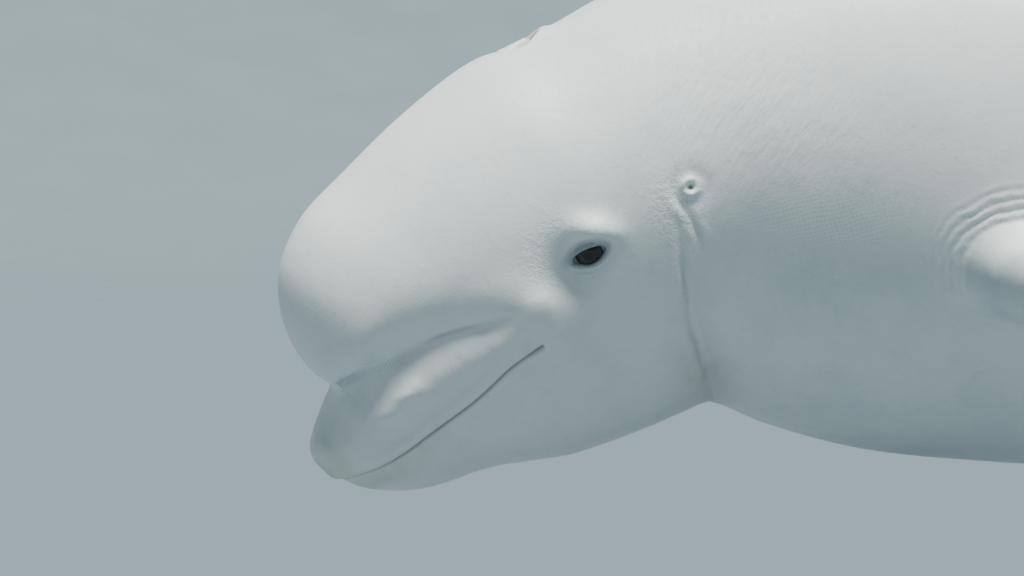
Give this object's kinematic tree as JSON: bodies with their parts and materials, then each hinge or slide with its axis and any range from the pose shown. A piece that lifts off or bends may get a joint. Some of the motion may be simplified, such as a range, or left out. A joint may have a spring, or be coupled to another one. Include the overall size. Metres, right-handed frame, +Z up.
{
  "type": "beluga whale on a display stand",
  "caption": "White toothed whale with a bulging forehead, short beak, rounded flippers and broad flukes, held level over a flat base by upright rods.",
  "frame": {"origin": "middle of the stand's underside, on the floor", "axes": "+X from the whale's head to its tail, +Y to the whale's right, +Z up"},
  "size_m": [3.9688, 1.3112, 1.1498],
  "materials": {
    "skin_white": "smooth white skin with a faint grey-green cast, satin when wet",
    "skin_fin": "the same skin, a little greyer towards the fins' edges",
    "eye_dark": "wet, glossy, almost black",
    "stand_paint": "satin blue-grey paint",
    "stand_steel": "brushed along the rod"
  },
  "bodies": {
    "root": {"melon": "skin_white", "upper_jaw": "skin_white", "lower_jaw": "skin_white", "head": "skin_white", "neck": "skin_white", "torso": "skin_white", "tail": "skin_white", "tail_stock": "skin_white", "dorsal_ridge": "skin_white", "flipper_left": "skin_fin", "flipper_right": "skin_fin", "fluke_left": "skin_fin", "fluke_right": "skin_fin", "eye_left": "eye_dark", "eye_right": "eye_dark", "stand_base": "stand_paint", "stand_rod_front": "stand_steel", "stand_rod_rear": "stand_steel"}
  },
  "joints": []
}
